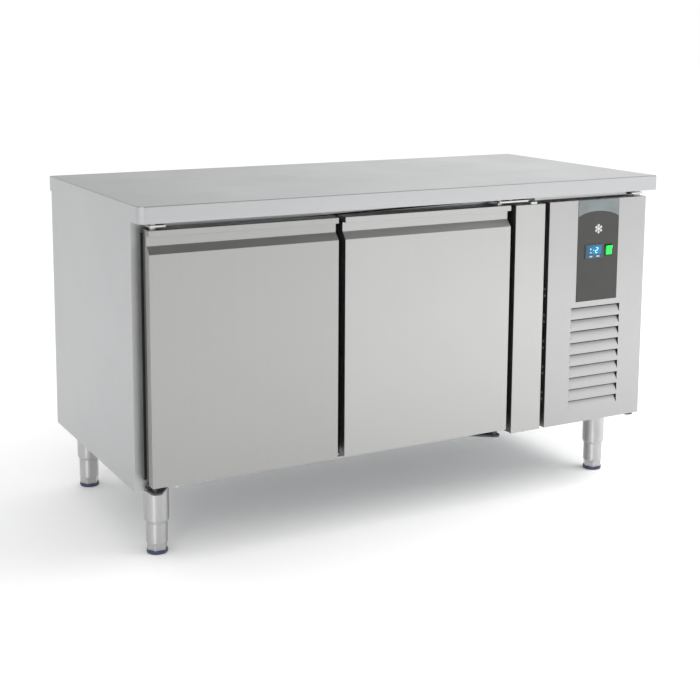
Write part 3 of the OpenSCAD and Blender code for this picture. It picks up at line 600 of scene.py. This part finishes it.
def tube(name, points, radius, bend, body, slot):
    """A round tube along straight legs with filleted bends."""
    pts = [Vector(q) for q in points]
    path = [pts[0]]
    for a, b, c in zip(pts, pts[1:], pts[2:]):
        u, w = (a - b).normalized(), (c - b).normalized()
        start, stop = b + u * bend, b + w * bend
        for k in range(9):
            t = k / 8
            path.append(start * (1 - t) ** 2 + b * 2 * t * (1 - t) + stop * t * t)
    path.append(pts[-1])
    curve = bpy.data.curves.new(name, "CURVE")
    curve.dimensions = "3D"
    curve.bevel_depth = radius
    curve.bevel_resolution = 5
    curve.use_fill_caps = True
    spline = curve.splines.new("POLY")
    spline.points.add(len(path) - 1)
    for point, q in zip(spline.points, path):
        point.co = (*q, 1)
    spline.use_smooth = True
    obj = bpy.data.objects.new(name, curve)
    bpy.context.scene.collection.objects.link(obj)
    curve.materials.append(FINISH[slot])
    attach(obj, body)
    return obj


# ---------------------------------------------------------------- worktop

def worktop_outline(lo, hi, inset, z, corner_left, corner_other):
    """Rounded rectangle at height z, counter-clockwise from the front left corner."""
    ring = []
    corners = (((lo.x, lo.y), (1, 1), corner_left, 180), ((hi.x, lo.y), (-1, 1), corner_other, 270),
               ((hi.x, hi.y), (-1, -1), corner_other, 0), ((lo.x, hi.y), (1, -1), corner_other, 90))
    for (x, y), (sx, sy), radius, start in corners:
        r = max(radius - inset, 0.4 * MM)
        cx, cy = x + sx * (inset + r), y + sy * (inset + r)
        for k in range(13):
            a = math.radians(start + 90 * k / 12)
            ring.append((cx + r * math.cos(a), cy + r * math.sin(a), z))
    return ring


def build_worktop():
    lo, hi = [Vector(v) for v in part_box("worktop")]
    sheet, hem, arris, fold = 1.2 * MM, 30 * MM, 2.0 * MM, 1.2 * MM
    profile = [(sheet, hi.z - sheet), (sheet, lo.z + sheet), (hem, lo.z + sheet), (hem, lo.z)]
    for k in range(5):
        a = math.radians(90 * k / 4)
        profile.append((fold * (1 - math.sin(a)), lo.z + fold * (1 - math.cos(a))))
    for k in range(7):
        a = math.radians(90 * k / 6)
        profile.append((arris * (1 - math.cos(a)), hi.z - arris * (1 - math.sin(a))))
    rings = [worktop_outline(lo, hi, d, z, 20 * MM, 5 * MM) for d, z in profile]
    verts, faces = loft(rings)
    obj = add_piece("worktop_folded", new_mesh("worktop_folded", verts, faces), "cabinet",
                    "steel_brushed", sharp=25)
    keep_flat(obj)
    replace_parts(obj, "worktop")


build_worktop()


# ---------------------------------------------------------------- sheet metal of the cabinet

for name in ("side_panel_left", "side_panel_right", "front_rails"):
    soften(name, 0.5 * MM)
# The fixed panel takes the right door's lighter copy of the door steel: painted light.
soften("fixed_panel", 0.5 * MM, material=FINISH["steel_door_right_painted_light"])
for name in ("hinge_tongues", "hinge_plates"):
    soften(name, 0.6 * MM)
for name in ("leg_tubes_upper", "leg_tubes_lower"):
    soften(name, 0.5 * MM, shortest=1 * MM)
for name in ("breaker_frame", "electrical_box"):
    soften(name, 0.8 * MM)
for name in ("condenser_motor", "evaporator_motor", "compressor"):
    soften(name, 0.8 * MM, shortest=1 * MM)
# Door steel in painted tones: the left door keeps the darker door steel (painted shade), and the
# compressor panel and right door take lighter copies (painted light).
soften("compressor_panel", 0.55 * MM, segments=5, sharp=20.0, material=FINISH["steel_panel_painted_light"])
soften("door_left_shell", 0.7 * MM)
soften("door_right_shell", 0.7 * MM, material=FINISH["steel_door_right_painted_light"])


# ---------------------------------------------------------------- feet

def build_feet():
    """Splits each screw foot into its bright hexagon and its dark moulded pad."""
    for corner in ("front_left", "front_right", "rear_left", "rear_right"):
        node = "foot_" + corner
        lo, hi = [Vector(v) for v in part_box(node)]
        centre = (lo + hi) / 2
        place = (centre.x, centre.y, lo.z)
        pad_r = (hi.x - lo.x) / 2
        pad_h = 9 * MM
        hexagon = 26.5 * MM
        pad = turned([(0.3 * pad_r, 0), (pad_r - 3 * MM, 0), (pad_r - 0.8 * MM, 0.8 * MM),
                      (pad_r, 2.5 * MM), (pad_r, pad_h - 1.0 * MM), (pad_r - 0.3 * MM, pad_h - 0.3 * MM),
                      (pad_r - 1 * MM, pad_h)], 64)
        verts, faces = loft(pad)
        pad_obj = add_piece(node + "_pad", new_mesh(node + "_pad", placed(verts, place, (0, 0, 1)), faces),
                            BODY_OF[node], "foot_plastic", sharp=35)
        hexa = [[(r * math.cos(math.pi * i / 3), r * math.sin(math.pi * i / 3), z) for i in range(6)]
                for r, z in ((pad_r, pad_h - 0.5 * MM), (pad_r, hexagon))]
        stem = turned([(pad_r - 2.6 * MM, hexagon - 1 * MM), (pad_r - 2.6 * MM, hi.z)], 48)
        verts, faces = joined([loft(hexa), loft(stem)])
        hex_obj = add_piece(node + "_hexagon",
                            new_mesh(node + "_hexagon", placed(verts, place, (0, 0, 1)), faces),
                            BODY_OF[node], "leg_steel")
        break_edges(hex_obj, 0.9 * MM, 3)
        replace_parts(pad_obj, node)
        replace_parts(hex_obj, node)


build_feet()


# ---------------------------------------------------------------- doors: seals and inner faces

def build_seal(side):
    lo, hi = [Vector(v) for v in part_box(f"door_{side}_gasket")]
    w, d = 14 * MM, hi.y - lo.y
    profile = [(0, 0), (0, 0.22), (0.13, 0.33), (0.13, 0.5), (0.03, 0.62), (0.03, 0.93), (0.08, 1.0),
               (0.92, 1.0), (0.97, 0.93), (0.97, 0.62), (0.87, 0.5), (0.87, 0.33), (1, 0.22), (1, 0)]
    rings = [ring_xz(lo.x, hi.x, lo.z, hi.z, u * w, lo.y + v * d) for u, v in profile]
    verts, faces = loft(rings + [rings[0]], False, False)
    obj = add_piece(f"door_{side}_seal", new_mesh(f"door_{side}_seal", verts, faces),
                    f"door_{side}", "gasket_rubber")
    break_edges(obj, 0.25 * MM)
    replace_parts(obj, f"door_{side}_gasket")


def build_door_inner(side):
    """Vacuum-formed inner face: a seat for the seal, a moat inside it and a dished field."""
    node = f"door_{side}_liner"
    lo, hi = [Vector(v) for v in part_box(node)]
    back = hi.y
    low = back - 1.2 * MM
    steps = [(0, lo.y), (0, back - 1 * MM), (1 * MM, back), (18 * MM, back), (20 * MM, low),
             (27 * MM, low), (30 * MM, back), (62 * MM, back), (66 * MM, low)]
    rings = [ring_xz(lo.x, hi.x, lo.z, hi.z, u, y) for u, y in steps]
    verts, faces = loft(rings)
    obj = add_piece(node + "_formed", new_mesh(node + "_formed", verts, faces), f"door_{side}",
                    "black_plastic", material=FINISH["liner_abs"])
    break_edges(obj, 0.5 * MM, 3)
    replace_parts(obj, node)


for side in ("left", "right"):
    build_seal(side)
    build_door_inner(side)


# ---------------------------------------------------------------- fascia and controls

FILM = 0.06 * MM


def flat_shape(name, outline, y_back, y_front, body, slot, material):
    """A thin plate in the X-Z plane from a list of (x, z)."""
    verts, faces = loft([[(x, y_back, z) for x, z in outline], [(x, y_front, z) for x, z in outline]])
    return add_piece(name, new_mesh(name, verts, faces), body, slot, material)


def build_fascia():
    lo, hi = [Vector(v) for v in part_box("fascia")]
    panel = "compressor_door"
    x0, x1 = lo.x, hi.x
    ends, crown, drop = hi.z - 45 * MM, 16 * MM, 4 * MM
    arch = []
    for k in range(41):
        t = k / 40
        rise = crown * (1 - (2 * t - 1) ** 2) ** 0.8 - drop * t
        arch.append((x0 + (x1 - x0) * t, ends + rise))
    outline = [(x1, hi.z - 0.4 * MM), (x0, hi.z - 0.4 * MM)] + arch
    flat_shape("fascia_field", outline, lo.y, lo.y - FILM, panel, "fascia_film", FINISH["fascia_pale"])
    soften("fascia", 0.25 * MM)


def build_snowflake():
    """A plain cold-storage pictogram: a hub, six arms and their twigs, none overlapping another."""
    lo, hi = [Vector(v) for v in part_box("fascia")]
    cx, cz = (lo.x + hi.x) / 2, hi.z - 80 * MM
    arm, half = 12.5 * MM, 0.75 * MM
    hub_clear, twig_clear = 1.8 * half, 1.95 * half
    hub_r = 0.97 * hub_clear / math.cos(math.radians(30))
    parts = []

    def plate(points):
        parts.append(loft([[(a, lo.y, b) for a, b in points],
                           [(a, lo.y - FILM, b) for a, b in points]]))

    def bar(x, z, angle, start, stop):
        """A pointed bar that lies between start and stop from x, z."""
        u = Vector((math.cos(angle), math.sin(angle)))
        w = Vector((-u.y, u.x)) * half
        near, far = Vector((x, z)) + u * start, Vector((x, z)) + u * stop
        plate([near + w, near - w, far - w, far + u * half, far + w])

    plate([(cx + hub_r * math.cos(math.radians(60 * k)), cz + hub_r * math.sin(math.radians(60 * k)))
           for k in range(6)])
    for k in range(6):
        a = math.radians(60 * k + 30)
        bar(cx, cz, a, hub_clear, arm)
        for at in (0.45, 0.72):
            px, pz = cx + math.cos(a) * arm * at, cz + math.sin(a) * arm * at
            for turn in (-1, 1):
                bar(px, pz, a + turn * math.radians(55), twig_clear, arm * 0.3)
    verts, faces = joined(parts)
    add_piece("fascia_snowflake", new_mesh("fascia_snowflake", verts, faces), "compressor_door",
              "fascia_film", FINISH["print_white"])


SEGMENTS = {"a": ((0, 2), (1, 2)), "b": ((1, 1), (1, 2)), "c": ((1, 0), (1, 1)),
            "d": ((0, 0), (1, 0)), "e": ((0, 0), (0, 1)), "f": ((0, 1), (0, 2)), "g": ((0, 1), (1, 1))}


def digit_parts(x, z, w, h, segments, y, thick, slant=0.08):
    """Seven-segment bars of one figure with its lower left corner at x, z."""
    half = 0.11 * w + 0.1 * MM
    parts = []
    for name in segments:
        (ax, az), (bx, bz) = SEGMENTS[name]
        a = Vector((x + ax * w + slant * az * h / 2, z + az * h / 2))
        b = Vector((x + bx * w + slant * bz * h / 2, z + bz * h / 2))
        u = (b - a).normalized()
        n = Vector((-u.y, u.x)) * half
        a, b = a + u * half * 0.4, b - u * half * 0.4
        pts = [a, a + u * half + n, b - u * half + n, b, b - u * half - n, a + u * half - n]
        parts.append(loft([[(q.x, y, q.y) for q in pts], [(q.x, y - thick, q.y) for q in pts]]))
    return parts


def build_controls():
    lo, hi = [Vector(v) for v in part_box("controller")]
    panel = "compressor_door"
    soften("controller", 0.5 * MM, shortest=3 * MM)
    well = lo.y + 1 * MM
    x0, x1, z0, z1 = lo.x + 5 * MM, hi.x - 5 * MM, lo.z + 10 * MM, hi.z - 4 * MM
    pane = [(x0 + 0.1 * MM, z0 + 0.1 * MM), (x1 - 0.1 * MM, z0 + 0.1 * MM),
            (x1 - 0.1 * MM, z1 - 0.1 * MM), (x0 + 0.1 * MM, z1 - 0.1 * MM)]
    flat_shape("display_pane", pane, well, well - 0.4 * MM, panel, "controller_plastic",
               FINISH["display_blue"])
    y = well - 0.4 * MM
    thick = 0.1 * MM
    w, h = 7.5 * MM, 14 * MM
    lit = digit_parts(x0 + 29 * MM, z0 + 4.5 * MM, w, h, "abged", y, thick)
    verts, faces = joined(lit)
    add_piece("display_figure", new_mesh("display_figure", verts, faces), panel,
              "controller_plastic", FINISH["display_lit"])
    small = []
    star_r, star_clear, star_half = 3 * MM, 0.66 * MM, 0.35 * MM
    centre = Vector((x0 + 13 * MM, z0 + 15 * MM))
    for k in range(6):
        a = math.radians(60 * k)
        u = Vector((math.cos(a), math.sin(a)))
        n = Vector((-u.y, u.x)) * star_half
        near, far = centre + u * star_clear, centre + u * star_r
        pts = [near - n, far - n, far + n, near + n]
        small.append(loft([[(q.x, y, q.y) for q in pts], [(q.x, y - thick, q.y) for q in pts]]))
    small.append(slab((x0 + 10 * MM, y - thick, z0 + 5 * MM), (x0 + 16 * MM, y, z0 + 6.2 * MM)))
    small += digit_parts(x0 + 20.5 * MM, z0 + 4.5 * MM, 4.5 * MM, 14 * MM, "g", y, thick)
    verts, faces = joined(small)
    add_piece("display_marks", new_mesh("display_marks", verts, faces), panel,
              "controller_plastic", FINISH["display_lit"])
    for name in ("key_left", "key_right"):
        soften(name, 0.4 * MM, shortest=1 * MM)
    soften("switch_housing", 0.4 * MM, shortest=3 * MM)
    soften("switch_rocker", 0.6 * MM, shortest=3 * MM)


build_fascia()
build_snowflake()
build_controls()


# ---------------------------------------------------------------- rivets and screws

def build_rivets():
    """Domed heads on the compressor panel's left return, in a near-white copy of the zinc: painted glint
    where the gap is in shade.
    """
    node = "panel_rivets"
    lo, hi = [Vector(v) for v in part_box(node)]
    r, pair = 3.5 * MM, 18 * MM
    rows = 5
    pitch = (hi.z - lo.z - 2 * r - pair) / (rows - 1)
    parts = []
    for i in range(rows):
        for dz in (0, pair):
            z = lo.z + r + i * pitch + dz
            dome = turned([(r, 0), (r, 0.15 * MM), (r * 0.9, 0.4 * MM), (r * 0.65, 0.65 * MM),
                           (r * 0.3, 0.78 * MM)], 24)
            verts, faces = loft(dome)
            parts.append((placed(verts, (hi.x, (lo.y + hi.y) / 2, z), (-1, 0, 0)), faces))
    verts, faces = joined(parts)
    obj = add_piece("panel_rivet_heads", new_mesh("panel_rivet_heads", verts, faces),
                    BODY_OF[node], "steel_zinc", FINISH["rivet_painted_glint"], sharp=40)
    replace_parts(obj, node)


def build_screws():
    rear_lo, rear_hi = [Vector(v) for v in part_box("rear_panel")]
    grille_lo, grille_hi = [Vector(v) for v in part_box("rear_grille")]
    heads = []
    y = rear_hi.y
    for x in (rear_lo.x + 30 * MM, (rear_lo.x + rear_hi.x) / 2, rear_hi.x - 14 * MM):
        for z in (rear_lo.z + 14 * MM, (rear_lo.z + rear_hi.z) / 2, rear_hi.z - 16 * MM):
            heads.append(screw((x, y, z), (0, 1, 0), 4 * MM, 2 * MM))
    for x in (grille_lo.x + 14 * MM, grille_hi.x - 30 * MM):
        for z in (grille_lo.z + 14 * MM, grille_lo.z + 96 * MM, grille_hi.z - 16 * MM):
            heads.append(screw((x, y, z), (0, 1, 0), 4 * MM, 2 * MM))
    box_lo, box_hi = [Vector(v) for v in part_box("electrical_box")]
    for dy in (10 * MM, box_hi.y - box_lo.y - 10 * MM):
        for dz in (10 * MM, box_hi.z - box_lo.z - 10 * MM):
            heads.append(screw((box_lo.x, box_lo.y + dy, box_lo.z + dz), (-1, 0, 0), 3.5 * MM, 1.8 * MM))
    verts, faces = joined(heads)
    add_piece("cabinet_screws", new_mesh("cabinet_screws", verts, faces), "cabinet", "steel_zinc",
              sharp=30)


build_rivets()
build_screws()
soften("fasteners", 0.5 * MM, shortest=0.4 * MM)


# ---------------------------------------------------------------- evaporator and condenser

def build_fan_guard():
    """Concentric wire guard in front of the evaporator fan's opening."""
    lo, hi = [Vector(v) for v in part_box("evaporator_fan")]
    centre = (lo + hi) / 2
    x = Vector(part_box("evaporator_cover")[0]).x - 4 * MM
    place = (x, centre.y, centre.z)
    axis = (1, 0, 0)
    parts = [torus(place, axis, r * MM, 1.1 * MM) for r in (22, 34, 46, 58, 70, 82)]
    parts.append(torus(place, axis, 94 * MM, 1.6 * MM))
    for k in range(4):
        a = math.radians(45 + 90 * k)
        u = Vector((0, math.cos(a), math.sin(a)))
        tip = Vector(place) + u * 97 * MM + Vector((-1.6 * MM, 0, 0))
        parts.append(wire(Vector(place) + u * 22 * MM + Vector((-1.6 * MM, 0, 0)), tip, 1.3 * MM))
        parts.append(wire(tip, tip + Vector((5.4 * MM, 0, 0)), 1.3 * MM))
    verts, faces = joined(parts)
    add_piece("evaporator_fan_guard", new_mesh("evaporator_fan_guard", verts, faces), "cabinet",
              "wire_chrome", sharp=50)


def build_rotor(node, axis, blades, hub_share, pitch):
    """A hub with twisted, round-tipped blades inside the CAD rotor's box."""
    lo, hi = [Vector(v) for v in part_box(node)]
    centre = (lo + hi) / 2
    k = 0 if axis[0] else 1
    radius = min((hi - lo)[i] for i in range(3) if i != k) / 2 * 0.985
    depth = (hi - lo)[k] * 0.82
    hub = radius * hub_share
    base = -depth / 2
    parts = [loft(turned([(hub * 0.3, base), (hub * 0.96, base), (hub, base + 0.8 * MM),
                          (hub, -base - 2 * MM), (hub * 0.9, -base - 0.6 * MM), (hub * 0.5, -base)], 48))]
    n_r, n_c, thick = 10, 10, 1.0 * MM
    for b in range(blades):
        start = 2 * math.pi * b / blades
        grids = ([], [])
        for i in range(n_r + 1):
            t = i / n_r
            r = hub * 0.9 + (radius - hub * 0.9) * t
            sweep = 0.50 + 0.42 * math.sin(math.pi * min(t * 0.62 + 0.12, 1.0)) * (1 - 0.25 * t * t)
            rise = depth * 0.46 * (1 - pitch * t)
            for j in range(n_c + 1):
                c = j / n_c * 2 - 1
                tip = 1 - 0.10 * t ** 3 * c * c
                a = start + c * sweep * 0.62 + 0.18 * t
                z = c * rise + 1.6 * MM * (1 - c * c)
                for side, grid in ((-1, grids[0]), (1, grids[1])):
                    edge = math.sqrt(max(0.0, 1 - c ** 6)) * math.sqrt(max(0.05, 1 - t ** 8))
                    grid.append((r * tip * math.cos(a), r * tip * math.sin(a),
                                 z + side * thick / 2 * edge))
        verts = grids[0] + grids[1]
        m, half = n_c + 1, (n_r + 1) * (n_c + 1)
        faces = []
        for i in range(n_r):
            for j in range(n_c):
                q = (i * m + j, i * m + j + 1, (i + 1) * m + j + 1, (i + 1) * m + j)
                faces += [q, tuple(v + half for v in reversed(q))]
        rim = list(range(m)) + [i * m + n_c for i in range(1, n_r + 1)] \
            + [n_r * m + j for j in range(n_c - 1, -1, -1)] + [i * m for i in range(n_r - 1, 0, -1)]
        for u, w in zip(rim, rim[1:] + rim[:1]):
            faces.append((u, w, w + half, u + half))
        parts.append((verts, faces))
    verts, faces = joined(parts)
    obj = add_piece(node + "_bladed", new_mesh(node + "_bladed", placed(verts, centre, axis), faces),
                    BODY_OF[node], SLOT_OF[node], sharp=40)
    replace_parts(obj, node)


def build_finned_coil(node, along, pitch, frame_w, tubes, tube_r):
    """Plate fins stacked along an axis between end plates, with tube rows through them."""
    lo, hi = [Vector(v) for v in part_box(node)]
    k = {"x": 0, "y": 1}[along]
    other = 1 - k
    inner_lo, inner_hi = lo.copy(), hi.copy()
    inner_lo[k] += frame_w
    inner_hi[k] -= frame_w
    inner_lo[other] += 2 * MM
    inner_lo.z += 6 * MM
    count = int((inner_hi[k] - inner_lo[k]) / pitch)
    fins, thick = [], 0.35 * MM
    for i in range(1, count):
        a, b = inner_lo.copy(), inner_hi.copy()
        a[k] = inner_lo[k] + i * pitch - thick / 2
        b[k] = a[k] + thick
        fins.append(slab(a, b))
    verts, faces = joined(fins)
    body = BODY_OF[node]
    fin_obj = add_piece(node + "_fins", new_mesh(node + "_fins", verts, faces), body, SLOT_OF[node])
    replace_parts(fin_obj, node)
    ends = []
    for at in (inner_lo[k] - 2 * MM, inner_hi[k]):
        a, b = lo.copy(), hi.copy()
        a[k], b[k] = at, at + 2 * MM
        ends.append(slab(a, b))
    verts, faces = joined(ends)
    end_obj = add_piece(node + "_end_plates", new_mesh(node + "_end_plates", verts, faces), body,
                        "steel_galvanised")
    break_edges(end_obj, 0.4 * MM)
    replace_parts(end_obj, node)
    pipes = []
    rows, levels = tubes
    reach = frame_w * 0.55
    for i in range(rows):
        for j in range(levels):
            a = inner_lo.copy()
            a[other] = inner_lo[other] + (inner_hi[other] - inner_lo[other]) * (i + 0.5) / rows
            a.z = inner_lo.z + (inner_hi.z - inner_lo.z) * (j + 0.5) / levels
            b = a.copy()
            a[k], b[k] = inner_lo[k] - reach, inner_hi[k] + reach
            pipes.append(wire(a, b, tube_r, 14))
    verts, faces = joined(pipes)
    pipe_obj = add_piece(node + "_tubes", new_mesh(node + "_tubes", verts, faces), body, "copper",
                         sharp=40)
    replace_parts(pipe_obj, node)


build_fan_guard()
build_rotor("evaporator_fan", (1, 0, 0), 5, 0.32, 0.35)
build_rotor("condenser_fan", (0, -1, 0), 5, 0.31, 0.35)
build_finned_coil("condenser_coil", "x", 3.2 * MM, 12 * MM, (2, 10), 4 * MM)


# ---------------------------------------------------------------- refrigerant lines

def build_lines():
    """The three copper lines of the CAD node with properly bent corners, and the drier."""
    pot_lo, pot_hi = [Vector(v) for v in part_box("compressor")]
    coil_lo, coil_hi = [Vector(v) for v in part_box("condenser_coil")]
    px, py = (pot_lo.x + pot_hi.x) / 2, (pot_lo.y + pot_hi.y) / 2
    stub = pot_hi.z
    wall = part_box("refrigerant_pipes")[0][0]
    coil_y = coil_lo.y + 24.5 * MM
    out_x = coil_lo.x + 30 * MM
    lines = [
        ("suction_line", [(px - 20 * MM, py, stub - 4 * MM), (px - 20 * MM, py, stub + 120 * MM),
                          (wall, py, stub + 120 * MM)], 5 * MM, 22 * MM),
        ("discharge_line", [(px + 20 * MM, py, stub - 4 * MM), (px + 20 * MM, py, stub + 80 * MM),
                            (px + 20 * MM, coil_y, stub + 80 * MM),
                            (px + 20 * MM, coil_y, coil_hi.z - 3 * MM)], 4 * MM, 18 * MM),
        ("liquid_line", [(out_x, coil_y, coil_hi.z - 3 * MM), (out_x, coil_y, stub + 100 * MM),
                         (out_x, py - 40 * MM, stub + 100 * MM), (wall, py - 40 * MM, stub + 100 * MM)],
         3 * MM, 13 * MM),
    ]
    for name, points, radius, bend in lines:
        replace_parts(tube(name, points, radius, bend, "cabinet", "copper"), "refrigerant_pipes")
    length, r = 100 * MM, 13 * MM
    can = turned([(3.4 * MM, 0), (4 * MM, 5 * MM), (r * 0.6, 9 * MM), (r * 0.92, 14 * MM), (r, 19 * MM),
                  (r, length - 19 * MM), (r * 0.92, length - 14 * MM), (r * 0.6, length - 9 * MM),
                  (4 * MM, length - 5 * MM), (3.4 * MM, length)], 40)
    verts, faces = loft(can)
    verts = placed(verts, (out_x, py - 170 * MM, stub + 100 * MM), (0, 1, 0))
    drier = add_piece("filter_drier", new_mesh("filter_drier", verts, faces), "cabinet", "copper",
                      sharp=40)
    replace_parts(drier, "refrigerant_pipes")


build_lines()


# ---------------------------------------------------------------- finish: view transform

bpy.context.scene.view_settings.view_transform = "Standard"
